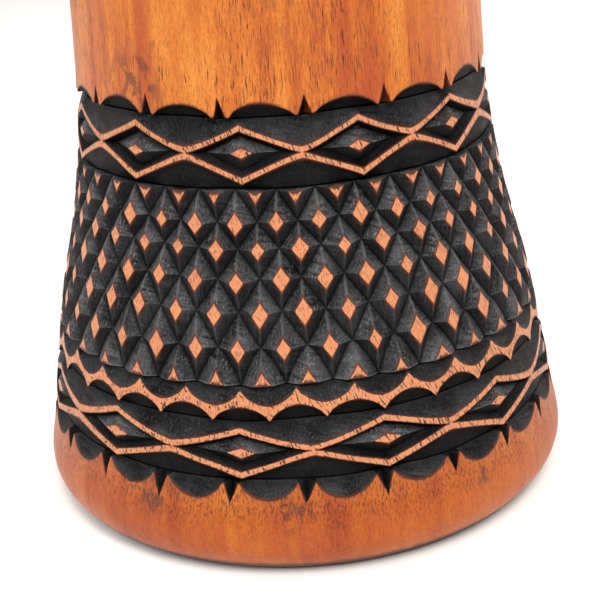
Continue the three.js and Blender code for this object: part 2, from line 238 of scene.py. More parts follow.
shell = {
    "outer": [
        (0, 106.5), (5, 112.5), (14, 118), (36, 115.5), (60, 111.5), (96, 104.5), (132, 95.4), (168, 89.3),
        (204, 86.9), (253, 85.7), (275, 86), (300, 90), (350, 105), (420, 127.5), (480, 140), (540, 151),
        (580, 155.5), (600, 157),
    ],
    "hollow": [(0, 88), (130, 72), (200, 64), (262, 61), (310, 70), (350, 86), (420, 111), (596, 145)],
    "rim": [(596, 145), (603, 149), (603, 154), (600, 157)],
    "sides": 144,
    "plainStep": 7,            # height between the rings of the plain wood
    "carvedFrom": 32,
    "carvedTo": 194,
    "fineEdge": 3.0,           # longest mesh edge in the carving
    "coarseEdge": 10.5,
    "coarsen": 0.35,           # how much longer an edge may be for each millimetre away from the carving
    "footRings": (30, 25, 20, 16, 12, 9, 6, 4, 2.4, 1.2, 0.4, 0),
    "hollowRings": 54,
    "undersideRings": (9, 1.5),          # how far outside the hollow's mouth the flat underside has rings
    "gouge": (9, 26, 1.6),     # width, length and depth of the marks inside
    "gougedBetween": (3, 590),           # none at the mouth and the rim
    "sharpFrom": 24,           # edges that turn more than this are drawn sharp
    "seed": 7,
}
groove = {"depth": 3, "mouth": 1.1, "floor": 0.8, "line": 1.6}     # line: the thin cut along its middle
lines = {"first": 183.7, "second": 156.3, "third": 81.6, "fourth": 67.6, "fifth": 43.5}
notches = {
    "extraDepth": 0.8,         # how much deeper than its groove a notch starts
    "flank": 1.15,
    "valley": 0.85,
    "steps": 5,
    "rows": 3,
    "scallopSteps": 14,
    "scoop": 0.75,             # under 1, a cut goes down steeply at first
    "widths": (0.88, 1.12),    # how far a hand-cut notch or scallop is off, from and to
    "lengths": (0.88, 1.08),
    "leans": (-0.5, 0.5),
    "heights": (0.9, 1.1),
    "skews": (0.85, 1.15),
}
borderRows = (0, 0.24, 0.76, 1)         # rows across a flat; the outer ones take its burnt border
topNotches = {
    "count": 17, "start": 5.1, "line": lines["first"], "way": 1,
    "notchWidth": 3.6, "notchLength": 8.5, "scallopWidth": 16.5, "scallopHeight": 4.9,
}
bottomNotches = {
    "count": 23, "start": -0.4, "line": lines["fifth"], "way": -1,
    "notchWidth": 3.2, "notchLength": 9.6, "scallopWidth": 12, "scallopHeight": 6.5,
}
upperLozenges = {
    "count": 12, "start": -11.3, "reach": 11.9, "top": lines["first"], "bottom": lines["second"],
}
lowerLozenges = {
    "count": 12, "start": -13.8, "reach": 10.7, "top": lines["fourth"], "bottom": lines["fifth"],
}
ribbon = {
    "crossing": (2.0, 3.8),    # half its height where two ribbons cross, from and to
    "height": 2.85, "holeShare": 0.94, "bend": 1.3, "holeBend": 1.1, "steps": 8,
}
lozenge = {
    "valleyAcross": 0.7, "valleyUp": 0.78, "topAcross": 0.2, "topUp": 0.23,
    "scoop": 0.7, "scoopRows": 4, "flankScoop": 0.8, "shifts": (-0.4, 0.4), "sizes": (0.85, 1.15),
}
lattice = {
    "count": 36, "start": -3.4, "rowHeights": [143.9, 133.8, 121.9, 109.7, 96.1],
    "topAcross": 0.38, "topUp": 0.42, "halfTopAcross": 0.38, "halfTopUp": 0.45,
    "steps": 4, "rows": 2,
    "drawnOut": 1.3,           # how much a flat's upper tip is drawn out
    "petal": 1.45,             # how far the lowest cuts bend out round their pyramids
    "sizes": (0.8, 1.17), "shifts": (-0.3, 0.3), "rises": (-0.5, 0.5),
}
scallops = {
    "count": 30, "upperStart": -1.3, "lowerStart": 4.6, "upperHeight": 6.6, "lowerHeight": 5.9, "steps": 5,
}
handwork = {
    "waver": 0.8, "waverSize": 26, "finer": 0.14, "finerSize": 8, "depthChange": 0.12,
    "fade": 14,                # the wavers die away over this height beside the carving
    "readAt": 100,             # the radius at which their noise is read
}

outerRadius = radiusFrom(shell["outer"])
hollowRadius = radiusFrom(shell["hollow"])


# Materials

def newMaterial(name):
    material = bpy.data.materials.new(name)
    material.use_nodes = True
    return material, partial(addNode, material.node_tree)


def finishMaterial(material, values, relief, strength, depth):
    # fills in the surface shader, with a bump from the relief that is depth millimetres deep
    tree = material.node_tree
    bump = addNode(tree, "ShaderNodeBump", strength, depth * mm, named={"Height": relief})
    setInputs(tree, tree.nodes["Principled BSDF"], {**values, "Normal": bump})
    return material


def grainNoise(node, place, width, length, detail=3, seed=0):
    # noise drawn out along the log's fibres, its features about width by length in millimetres
    scale = (1000 / width, 1000 / width, 1000 / length)
    moved = node("ShaderNodeMapping", place, (seed, 0, seed), named={"Scale": scale})
    return node("ShaderNodeTexNoise", moved, named={"Scale": 1.0, "Detail": detail})


hardwood = {
    "dark": "#9e481a",
    "mid": "#be681f",
    "light": "#cc8031",
    "red": "#9a3b14",          # broad redder bands in the grain
    "pore": "#2c1108",
    "raised": "#c2835f",       # flats between the cuts, sanded after charring
    "raisedPale": "#bc7a5b",
    "scorch": "#32110a",       # thin burnt line beside the char
    "footTint": "#dfc078",
    "stain": "#5b2f20",
    "lowestEdgeDark": "#4a2412",     # darker along the very lowest edge
    "stainedPlaces": ((-40, 196, 17), (-34, 34, 12), (-3, 30, 10), (38, 31, 9)),     # angle, height, reach
}


def oiledHardwood():
    # Oiled tropical hardwood, turned and sanded: a warm satin brown with straight grain and dark pores.
    material, node = newMaterial("oiled hardwood")
    place = node("place")
    height = node("divide", node("up", place), mm)
    bands = grainNoise(node, place, 16, 320, 2, 5.2)
    streaks = grainNoise(node, place, 6, 110, 4)
    patches = grainNoise(node, place, 30, 60, 3, 4.1)
    fibres = grainNoise(node, place, 0.5, 7, 3, 7.3)
    flecks = grainNoise(node, place, 0.7, 1.6, 2, 12.9)         # twice as coarse as real ones, to show
    spots = grainNoise(node, place, 4, 6, 4, 14.3)
    raised = node("attribute", attribute_name="raised")
    burnt = node("attribute", attribute_name="scorch")

    # the grain's tone, with broad redder bands and a yellower foot
    tone = node("multiply", node("add", streaks, patches), 0.35)
    tone = node("add", tone, node("multiply", fibres, 0.3))
    colour = node("ShaderNodeValToRGB", tone)
    stops = colour.node.color_ramp.elements
    stops.new(0.5)
    for stop, position, name in zip(stops, (0.38, 0.5, 0.62), ("dark", "mid", "light")):
        stop.position = position
        stop.color = linearColour(hardwood[name])
    low = node("range", height, 60, 30)
    redder = node("range", bands, 0.5, 0.66, 0, 0.68)
    redder = node("multiply", redder, node("range", low, 0, 1, 1, 0.2))
    colour = node("mix", redder, colour, hardwood["red"])
    colour = node("mix", low, colour, hardwood["footTint"], blend_type="MULTIPLY")
    colour = node("mix", node("range", flecks, 0.38, 0.56, 0.26, 0), colour, hardwood["stain"])

    # old stains: soft spots here and there, and in a few places
    areas = grainNoise(node, place, 48, 48, 1, 21.7)
    stains = node("multiply", node("range", spots, 0.5, 0.68), node("range", areas, 0.58, 0.7, 0, 0.55))
    for angle, level, reach in hardwood["stainedPlaces"]:
        middle = Vector(around(math.radians(angle), float(outerRadius(level)), level)) * mm
        near = node("range", node("distance", place, middle), reach * mm, 0.4 * reach * mm)
        spot = node("multiply", near, node("range", spots, 0.48, 0.58))
        stains = node("maximum", stains, node("multiply", spot, 0.8))
    colour = node("mix", stains, colour, hardwood["stain"])

    flats = node("mix", node("power", burnt, 0.8), hardwood["raised"], hardwood["raisedPale"])
    flats = node("mix", node("range", fibres, 0.35, 0.6, 0.35, 0), flats, hardwood["mid"])
    colour = node("mix", node("multiply", raised, 0.85), colour, flats)

    # pores as fine dashes, and thin cracks, closer together just above and below the carving
    besideFoot = node("range", height, 22, 32, 0, 0.05)
    besideStem = node("minimum", node("range", height, 225, 192, 0, 0.03), node("range", height, 170, 180))
    besides = node("maximum", besideFoot, besideStem)
    pores = node("range", node("add", grainNoise(node, place, 0.5, 5, 1, 2.2), besides), 0.65, 0.73)
    poreAreas = node("range", grainNoise(node, place, 26, 50, 2, 9.7), 0.4, 0.6, 0.15, 0.75)
    pores = node("multiply", pores, poreAreas)
    cracks = node("range", grainNoise(node, place, 0.5, 22, 1, 16.4), 0.66, 0.71, 0, 0.85)
    onStem = node("ShaderNodeMath", besideStem, 0.012, operation="GREATER_THAN")
    pores = node("maximum", pores, node("multiply", cracks, onStem))

    # short torn fibres where the lower scallops end
    torn = node("range", grainNoise(node, place, 0.7, 2.6, 1, 19.2), 0.53, 0.62, 0, 0.6)
    torn = node("multiply", torn, node("range", height, 19, 31))
    torn = node("multiply", torn, node("range", height, 44, 43))
    pores = node("maximum", pores, torn)

    # leaning ticks on the flats, where the knife caught the grain; fewer show on the lattice
    leaning = node("ShaderNodeMapping", place, named={"Rotation": (0, math.radians(24), 0)})
    ticks = node("range", grainNoise(node, leaning, 0.7, 4.5, 1, 11.0), 0.58, 0.64)
    onLattice = node("multiply", node("range", height, 83, 84), node("range", height, 155, 154))
    ticks = node("multiply", ticks, node("range", onLattice, 0, 1, 0.95, 0.35))
    pores = node("maximum", pores, node("multiply", ticks, raised))
    colour = node("mix", pores, colour, hardwood["pore"])

    scorch = node("range", node("add", burnt, node("multiply", raised, 0.3)), 0.55, 0.95, 0, 0.92)
    colour = node("mix", scorch, colour, hardwood["scorch"])
    # darker along the very lowest edge, unevenly
    rim = node("range", node("subtract", height, node("multiply", spots, 4)), 5, 3.2, 0, 0.9)
    colour = node("mix", rim, colour, hardwood["lowestEdgeDark"])
    relief = node("subtract", node("multiply", fibres, 0.5), pores)
    return finishMaterial(material, {
        "Base Color": colour,
        "Roughness": node("range", tone, 0.35, 0.65, 0.5, 0.38),
        "Specular IOR Level": 0.3,
    }, relief, 0.4, 0.25)


charred = {
    "dark": "#0b0a0a",
    # light: the grey that the painted light from above brings up
    "light": "#5b5b5d",
    # scratch: scratches that also stand in for painted streaky highlights
    "scratchGlint": "#79797b",
    # deep: painted shade, the near black of valleys and steep cut walls
    "deep": "#030303",
    "singed": "#5a2611",       # not quite burnt through, next to the bare wood
    # ridge: painted highlight along the ridges
    "ridge": "#656463",
    "browned": "#3d1a0e",      # the far flanks of the upper notches, only browned
}


def charredHardwood():
    # The same wood burnt black with a hot iron, then oiled: matt black, with faces that look up painted
    # greyer as painted light from above.
    material, node = newMaterial("charred hardwood")
    place = node("place")
    leaning = node("ShaderNodeMapping", place, named={"Rotation": (0, math.radians(-14), 0)})
    cloud = grainNoise(node, place, 12, 20, 2, 1.3)
    fibres = grainNoise(node, place, 0.6, 8, 2, 5.9)
    strokes = grainNoise(node, leaning, 11, 0.9, 2, 2.6)        # chisel strokes along the cuts
    scratchGlints = grainNoise(node, leaning, 0.7, 14, 1, 8.8)
    areas = grainNoise(node, place, 9, 14, 2, 3.7)
    marks = ("depth", "ridge", "sootAndShade", "valley", "browned", "scorch")
    given = {name: node("attribute", attribute_name=name) for name in marks}

    # painted light and shade: faces that look up are painted grey as if lit from above, and the deeper a
    # face lies, the darker it is painted
    paintedTopLight = node("range", node("up", node("facing")), -0.3, 0.4)
    paintedTopLight = node("multiply", paintedTopLight, node("range", given["depth"], 0.1, 1, 1, 0.32))
    grain = node("mix", node("range", areas, 0.45, 0.55), fibres, strokes)
    tone = node("add", node("multiply", cloud, 0.5), node("multiply", grain, 0.5))
    tone = node("power", node("range", tone, 0.34, 0.66), 1.3)
    tone = node("multiply", tone, node("add", node("multiply", paintedTopLight, 0.92), 0.08))
    colour = node("mix", tone, charred["dark"], charred["light"])
    # scratches painted lighter only where the painted light from above falls, so they are also painted
    # streaky highlights
    scratchGlints = node("multiply", node("range", scratchGlints, 0.56, 0.7), paintedTopLight)
    scratchGlints = node("multiply", scratchGlints, node("range", areas, 0.42, 0.62, 0.05, 0.7))
    colour = node("mix", scratchGlints, colour, charred["scratchGlint"])
    # painted highlight: ridges painted lighter where a rounded edge would catch the light, on faces that
    # look up
    ridge = node("multiply", node("range", given["ridge"], 0.45, 1, 0, 0.7), paintedTopLight)
    colour = node("mix", ridge, colour, charred["ridge"])

    # painted shade: creases, valleys and steep cut walls are painted near black, partly soot; beside bare
    # wood the char is thin
    deep = node("maximum", given["sootAndShade"], node("range", given["valley"], 0.35, 1))
    colour = node("mix", node("multiply", deep, 0.85), colour, charred["deep"])
    colour = node("mix", given["browned"], colour, charred["browned"])
    colour = node("mix", node("range", given["scorch"], 0.55, 1, 0, 0.8), colour, charred["singed"])
    relief = node("add", node("multiply", fibres, 0.8), node("multiply", cloud, 0.5))
    return finishMaterial(material, {
        "Base Color": colour,
        "Roughness": node("range", cloud, 0.3, 0.7, 0.45, 0.65),
        "Specular IOR Level": 0.06,
    }, relief, 0.8, 0.4)


def rawHardwood():
    # Bare hardwood inside the hollow, hewn and never sanded: dry, paler and rough.
    material, node = newMaterial("bare hewn hardwood")
    place = node("place")
    streaks = grainNoise(node, place, 6, 120, 4, 2.9)
    gouges = grainNoise(node, place, 11, 26, 2, 6.4)
    tone = node("add", node("multiply", streaks, 0.7), node("multiply", gouges, 0.3))
    colour = node("mix", node("range", tone, 0.35, 0.65), "#8d5a37", "#c08e63")
    relief = node("add", gouges, node("multiply", streaks, 0.3))
    return finishMaterial(material, {"Base Color": colour, "Roughness": 0.75}, relief, 0.8, 1.2)


def goatSkin():
    # Shaved goat skin, dried tight: cream and a little see-through, with hair roots and a darker spine.
    material, node = newMaterial("shaved goat skin")
    place = node("place")
    cloud = grainNoise(node, place, 70, 70, 5)
    veins = grainNoise(node, place, 24, 24, 6)
    roots = node("ShaderNodeTexVoronoi", place, named={"Scale": 1000 / 3})
    fromSpine = node("absolute", node("add", node("across", place), node("multiply", cloud, 0.03)))
    fromVein = node("absolute", node("subtract", veins, 0.5))
    colour = node("mix", node("range", cloud, 0.35, 0.65), "#a98f66", "#c8b68f")
    colour = node("mix", node("range", fromSpine, 0.04, 0, 0, 0.55), colour, "#6f5231")
    colour = node("mix", node("range", fromVein, 0.03, 0, 0, 0.3), colour, "#8b6c45")
    colour = node("mix", node("range", roots, 0.2, 0.08, 0, 0.5), colour, "#5e4528")
    relief = node("add", cloud, node("multiply", roots, 0.15))
    return finishMaterial(material, {
        "Base Color": colour,
        "Roughness": 0.5,
        "Subsurface Weight": 0.15,
        "Subsurface Radius": (0.004, 0.002, 0.001),
    }, relief, 0.35, 0.5)


def paintedIron():
    # Bent iron rod under brushed black paint: dark, a little uneven, with a dull gloss.
    material, node = newMaterial("black painted iron")
    cloud = grainNoise(node, node("place"), 6, 6, 4)
    colour = node("mix", node("range", cloud, 0.4, 0.65), "#161616", "#2a2725")
    rough = node("range", cloud, 0.3, 0.7, 0.35, 0.55)
    return finishMaterial(material, {"Base Color": colour, "Roughness": rough}, cloud, 0.3, 0.3)


def blackRope():
    # Twisted polyester cord, dyed black: soft, dull, with fine yarns that catch a little light.
    material, node = newMaterial("black polyester cord")
    place = node("place")
    yarns = grainNoise(node, place, 0.8, 0.8, 2)
    colour = node("mix", node("range", yarns, 0.35, 0.7), "#121214", "#34343a")
    dusty = node("range", grainNoise(node, place, 30, 30, 2), 0.5, 0.8, 0, 0.3)
    colour = node("mix", dusty, colour, "#4a463f")
    return finishMaterial(material, {
        "Base Color": colour,
        "Roughness": 0.8,
        "Sheen Weight": 0.2,
    }, yarns, 0.5, 0.3)


finishes = {
    "oiled": oiledHardwood(),
    "charred": charredHardwood(),
    "raw": rawHardwood(),
    "skin": goatSkin(),
    "iron": paintedIron(),
    "rope": blackRope(),
}
print("materials are made")


# The shell. Its outside is drawn unrolled, as points of angle, height and depth under the plain wood,
# so that each cut meets its neighbours edge to edge, and is then wrapped round the drum.
random.seed(shell["seed"])
noise.seed_set(shell["seed"])           # left alone, its vectors follow the clock

# what a face is: scooped char and the steep cut walls are painted darker, the walls blackest, as painted
# shade in the cuts and partly soot; browned is not quite burnt
plainWood, raisedWood, char, scooped, sootAndShade, browned, hewn = range(7)
sootAndShadeOf = {scooped: 0.7, sootAndShade: 1.0}
flat, numberOf, faces, kinds = [], {}, [], []


def point(angle, height, depth=0.0):
    key = (round(angle % 360, 3) % 360, round(height, 3), round(depth, 3))
    if key not in numberOf:
        numberOf[key] = len(flat)
        flat.append(key)
    return numberOf[key]


def addFace(kind, *corners):
    corners = [c for i, c in enumerate(corners) if c != corners[i - 1]]
    for i in range(2, len(corners)):
        faces.append((corners[0], corners[i - 1], corners[i]))
        kinds.append(kind)


def column(top, bottom, rows, scoop=1.0):
    # the numbers of the points from top to bottom, in even rows or at given shares of the way
    shares = [k / rows for k in range(rows + 1)] if isinstance(rows, int) else rows
    return [
        point(
            top[0] + (bottom[0] - top[0]) * share,
            top[1] + (bottom[1] - top[1]) * share,
            top[2] + (bottom[2] - top[2]) * share ** scoop,
        )
        for share in shares
    ]


def patch(kind, upper, lower, rows=1, scoop=1.0):
    # a strip between two lines of points with as many points each; scoop bends the depth in between
    columns = [column(a, b, rows, scoop) for a, b in zip(upper, lower)]
    grid = list(zip(*columns))
    for above, below in zip(grid, grid[1:]):
        for i in range(len(above) - 1):
            if i < len(above) // 2:
                addFace(kind, above[i], below[i], below[i + 1], above[i + 1])
            else:
                addFace(kind, below[i], below[i + 1], above[i + 1], above[i])


def roundHill(share):
    # a low arch over a width of 1: 0 at both ends and 1 in the middle, fuller than a sine
    return (4 * share * (1 - share)) ** 0.8 if 0 < share < 1 else 0.0


def turnBetween(first, second):
    return (second - first + 180) % 360 - 180


def ringOf(points):
    # the numbers of a ring's points, each once, in order
    numbers = [point(*p) for p in points]
    return [n for i, n in enumerate(numbers) if n != numbers[i - 1]]


def zipRings(kind, upper, lower):
    # triangles between two closed rings that may have different numbers of points
    start = flat[upper[0]][0]
    first = min(range(len(lower)), key=lambda i: abs(turnBetween(start, flat[lower[i]][0])))
    lower = lower[first:] + lower[:first]

    def walk(ring, angle):
        angles = [angle]
        for i in range(len(ring)):
            here, ahead = flat[ring[i]][0], flat[ring[(i + 1) % len(ring)]][0]
            angles.append(angles[-1] + turnBetween(here, ahead))
        return angles

    upperAngles = walk(upper, 0)
    lowerAngles = walk(lower, turnBetween(start, flat[lower[0]][0]))
    i = j = 0
    while i < len(upper) or j < len(lower):
        here, below = upper[i % len(upper)], lower[j % len(lower)]
        if i < len(upper) and (j == len(lower) or upperAngles[i + 1] <= lowerAngles[j + 1]):
            i += 1
            addFace(kind, here, below, upper[i % len(upper)])
        else:
            j += 1
            addFace(kind, here, below, lower[j % len(lower)])


def notchBand(band):
    # pointed notches with a scooped scallop between each two; returns its edge and its ring in the groove
    period = 360 / band["count"]
    way = band["way"]
    edgeLine = band["line"] + way * groove["mouth"] / 2
    floorLine = band["line"] + way * groove["floor"] / 2
    deepest = groove["depth"] + notches["extraDepth"]
    edge, floor = [], []
    for i in range(band["count"]):
        middle = band["start"] + i * period
        half = band["notchWidth"] / 2 * random.uniform(*notches["widths"])
        length = band["notchLength"] * random.uniform(*notches["lengths"])
        lean = random.uniform(*notches["leans"])
        left, valley, right = [], [], []
        for k in range(notches["steps"] + 1):
            share = k / notches["steps"]
            height = edgeLine + way * length * share
            narrow = half * (1 - share) ** notches["flank"]
            centre = middle + lean * share
            left.append((centre - narrow, height, 0))
            right.append((centre + narrow, height, 0))
            low = floorLine + (edgeLine + way * length - floorLine) * share
            valley.append((centre, low, deepest * (1 - share) ** notches["valley"]))
        patch(sootAndShade, left, valley)
        patch(browned if way > 0 else sootAndShade, valley, right)
        apart = (period - band["scallopWidth"]) / 2
        cusps = [middle - apart, middle + apart]
        for corner, cusp in ((middle - half, cusps[0]), (middle + half, cusps[1])):
            wall = [(corner, edgeLine, 0), (cusp, edgeLine, 0)]
            foot = [(corner, floorLine, groove["depth"]), (cusp, floorLine, groove["depth"])]
            patch(sootAndShade, wall, foot, notches["rows"], notches["scoop"])
            side = column(wall[0], foot[0], notches["rows"], notches["scoop"])
            for above, below in zip(side, side[1:]):
                addFace(sootAndShade, above, below, point(*valley[0]))
        tall = band["scallopHeight"] * random.uniform(*notches["heights"])
        skew = random.uniform(*notches["skews"])
        arc, under = [], []
        for k in range(notches["scallopSteps"] + 1):
            share = k / notches["scallopSteps"]
            angle = cusps[1] + share * band["scallopWidth"]
            arc.append((angle, edgeLine + way * tall * roundHill(share ** skew), 0))
            under.append((angle, floorLine, groove["depth"]))
        patch(scooped, arc, under, notches["rows"], notches["scoop"])
        edge += [(cusps[0], edgeLine, 0)] + left + right[::-1] + arc
        feet = [(angle, floorLine, groove["depth"]) for angle in (cusps[0], middle - half, middle + half)]
        floor += [feet[0], feet[1], valley[0], feet[2]] + under
    return ringOf(edge), ringOf(floor)


def lozengeBand(band):
    # crossing ribbons left at full height, scooped hollows above and below them, a lozenge in each gap
    half = 180 / band["count"]
    middle = (band["top"] + band["bottom"]) / 2
    halfHole = ribbon["holeShare"] * half
    steps = [k / ribbon["steps"] for k in range(-ribbon["steps"], ribbon["steps"] + 1)]
    topRing, bottomRing = [], []
    crossings = [random.uniform(*ribbon["crossing"]) for _ in range(band["count"])]
    for i in range(band["count"]):
        centre = band["start"] + i * 2 * half
        crossing = {-1: crossings[i - 1], 1: crossings[i]}
        shares = [-1] + [ribbon["holeShare"] * s for s in steps] + [1]
        outer = []
        for s in shares:
            low = crossing[-1 if s < 0 else 1]
            outer.append(low + (band["reach"] - low) * (1 - abs(s)) ** ribbon["bend"])
        hole = [(band["reach"] - ribbon["height"]) * (1 - abs(s)) ** ribbon["holeBend"] for s in steps]
        inner = [0] + hole + [0]
        angles = [centre + s * half for s in shares]
        shift = (random.uniform(*lozenge["shifts"]), random.uniform(*lozenge["shifts"]))
        size = random.uniform(*lozenge["sizes"])
        grooves = ((1, band["top"] - groove["floor"] / 2), (-1, band["bottom"] + groove["floor"] / 2))
        for side, line in grooves:
            outerEdge = [(a, middle + side * rise, 0) for a, rise in zip(angles, outer)]
            innerEdge = [(a, middle + side * rise, 0) for a, rise in zip(angles, inner)]
            grooveLine = [(a, line, groove["depth"]) for a in angles]
            patch(raisedWood, outerEdge, innerEdge, borderRows)
            patch(scooped, outerEdge, grooveLine, lozenge["scoopRows"], lozenge["scoop"])
            valley, top = [], []
            for s in steps:
                up = 1 - abs(s)
                valley.append((
                    centre + lozenge["valleyAcross"] * halfHole * s,
                    middle + side * lozenge["valleyUp"] * max(hole) * up,
                    groove["depth"],
                ))
                top.append((
                    centre + shift[0] + size * lozenge["topAcross"] * half * s,
                    middle + shift[1] + side * size * lozenge["topUp"] * band["reach"] * up,
                    0,
                ))
            patch(sootAndShade, innerEdge[1:-1], valley, 2, lozenge["flankScoop"])
            patch(char, valley, top, 2)
            patch(raisedWood, top, [(p[0], middle + shift[1], 0) for p in top], (0, 0.4, 1))
            if side > 0:
                topRing += grooveLine[:-1]
            else:
                bottomRing += grooveLine[:-1]
    return ringOf(topRing), ringOf(bottomRing)


def between(first, second, steps, bend=1.0):
    # points from first to second; with a bend over 1 the height changes late, under 1 early
    points = []
    for k in range(steps + 1):
        share = k / steps
        shares = (share, share ** bend, share)
        points.append(tuple(a + (b - a) * s for a, b, s in zip(first, second, shares)))
    return points


def valleyLine(first, second, bend):
    # the same points whichever end it starts from, because the pyramids on both sides of a cut share them
    if first[1] < second[1]:
        return valleyLine(second, first, bend)[::-1]
    return between(first, second, lattice["steps"], bend)


def latticeBand():
    # V cuts that cross and leave cut-off pyramids in staggered rows, halved at the grooves
    period = 360 / lattice["count"]
    deep = groove["depth"]
    highest, lowest = lines["second"] - groove["floor"] / 2, lines["third"] + groove["floor"] / 2
    heights = [highest, *lattice["rowHeights"], lowest]
    steps = lattice["steps"]
    inset = (groove["mouth"] - groove["floor"]) / 2
    rings = {0: [], len(heights) - 1: []}
    for row, z in enumerate(heights):
        for i in range(lattice["count"]):
            centre = lattice["start"] + (i if row % 2 else i + 0.5) * period
            left, right = (centre - period / 2, z, deep), (centre + period / 2, z, deep)
            size = random.uniform(*lattice["sizes"])
            dx, dz = random.uniform(*lattice["shifts"]), random.uniform(*lattice["rises"])
            for other in (row - 1, row + 1):
                if not 0 <= other < len(heights):
                    continue
                tip = (centre, heights[other], deep)
                if 0 < row < len(heights) - 1:
                    across = size * lattice["topAcross"] * period / 2
                    up = size * lattice["topUp"] * (tip[1] - z)
                    topLeft = (centre + dx - across, z + dz, 0)
                    topRight = (centre + dx + across, z + dz, 0)
                    peak = (centre + dx, z + dz + up, 0)
                else:
                    across = size * lattice["halfTopAcross"] * period / 2
                    edge = z + math.copysign(inset, tip[1] - z)
                    topLeft, topRight = (centre + dx - across, edge, 0), (centre + dx + across, edge, 0)
                    peak = (centre + dx, z + lattice["halfTopUp"] * (tip[1] - z), 0)
                    wall = between(left, right, steps * 2)
                    patch(char, wall, between(topLeft, topRight, steps * 2), lattice["rows"])
                    rings[row] += between(left, right, steps * 2)[:-1]
                rise = between(topLeft, peak, steps, lattice["drawnOut"] if peak[1] > topLeft[1] else 1.0)
                rise += [(2 * peak[0] - p[0], p[1], p[2]) for p in rise[-2::-1]]
                bend = lattice["petal"] if max(row, other) == len(heights) - 1 else 1.0
                cut = valleyLine(left, tip, bend) + valleyLine(tip, right, bend)[1:]
                patch(char, cut, rise, lattice["rows"])
                patch(raisedWood, rise, between(topLeft, topRight, steps * 2), (0, 0.3, 1))
    return ringOf(rings[0]), ringOf(rings[len(heights) - 1])


def scallopBand():
    # scallops hang from one groove and stand on the next, with a wavy ribbon of wood between them
    period = 360 / scallops["count"]
    steps = scallops["steps"]
    upperLine = lines["third"] - groove["mouth"] / 2
    lowerLine = lines["fourth"] + groove["mouth"] / 2
    shift = scallops["lowerStart"] - scallops["upperStart"]
    angles = []
    for i in range(scallops["count"]):
        start = scallops["upperStart"] + i * period
        angles += [start + shift * k / steps for k in range(steps)]
        angles += [start + shift + (period - shift) * k / steps for k in range(steps)]
    angles.append(scallops["upperStart"] + 360)

    def hang(angle, start):
        share = ((angle - start) / period) % 1
        return roundHill(share) if 0.001 < share < 0.999 else 0.0

    upper = [(a, upperLine - scallops["upperHeight"] * hang(a, scallops["upperStart"]), 0) for a in angles]
    lower = [(a, lowerLine + scallops["lowerHeight"] * hang(a, scallops["lowerStart"]), 0) for a in angles]
    top = [(a, lines["third"] - groove["floor"] / 2, groove["depth"]) for a in angles]
    bottom = [(a, lines["fourth"] + groove["floor"] / 2, groove["depth"]) for a in angles]
    patch(scooped, upper, top, 3, notches["scoop"])
    patch(raisedWood, upper, lower, (0, 0.12, 0.5, 0.88, 1))
    patch(scooped, lower, bottom, 3, notches["scoop"])
    return ringOf(top[:-1]), ringOf(bottom[:-1])


def incisedLine(above, below, height):
    # the thin cut along a groove, between the bands that meet in it
    step = 360 / shell["sides"] / 2
    middle = [(i * step, height, groove["depth"] + groove["line"]) for i in range(2 * shell["sides"])]
    zipRings(sootAndShade, above, ringOf(middle))
    zipRings(sootAndShade, ringOf(middle), below)


def plainRing(height):
    step = 360 / shell["sides"]
    return ringOf([(i * step, height, 0) for i in range(shell["sides"])])


def drawOutside():
    topEdge, topFloor = notchBand(topNotches)
    upperTop, upperBottom = lozengeBand(upperLozenges)
    latticeTop, latticeBottom = latticeBand()
    scallopTop, scallopBottom = scallopBand()
    lowerTop, lowerBottom = lozengeBand(lowerLozenges)
    bottomEdge, bottomFloor = notchBand(bottomNotches)
    highest, lowest = shell["outer"][-1][0], shell["carvedTo"]
    stemHeights = np.linspace(highest, lowest + 5, round((highest - lowest) / shell["plainStep"]))
    stem = [plainRing(float(z)) for z in stemHeights]
    foot = [plainRing(z) for z in shell["footRings"]]
    for upper, lower in zip(stem, stem[1:]):
        zipRings(plainWood, upper, lower)
    zipRings(plainWood, stem[-1], topEdge)
    incisedLine(topFloor, upperTop, lines["first"])
    incisedLine(upperBottom, latticeTop, lines["second"])
    incisedLine(latticeBottom, scallopTop, lines["third"])
    incisedLine(scallopBottom, lowerTop, lines["fourth"])
    incisedLine(lowerBottom, bottomFloor, lines["fifth"])
    zipRings(plainWood, bottomEdge, foot[0])
    for upper, lower in zip(foot, foot[1:]):
        zipRings(plainWood, upper, lower)


def cutTriangle(corners, cuts):
    # the triangles left when the middles of none, one, two or all of its edges are cut
    count = sum(c is not None for c in cuts)
    if count == 0:
        return [corners]
    if count == 3:
        (a, b, c), (ab, bc, ca) = corners, cuts
        return [(a, ab, ca), (ab, b, bc), (ca, bc, c), (ab, bc, ca)]
    # turned so that its first edge is the only one cut, or the only one left whole
    first = next(k for k in range(3) if (cuts[k] is None) == (count == 2))
    a, b, c = corners[first:] + corners[:first]
    ab, bc, ca = cuts[first:] + cuts[:first]
    return [(a, ab, c), (ab, b, c)] if count == 1 else [(bc, c, ca), (a, b, bc), (a, bc, ca)]


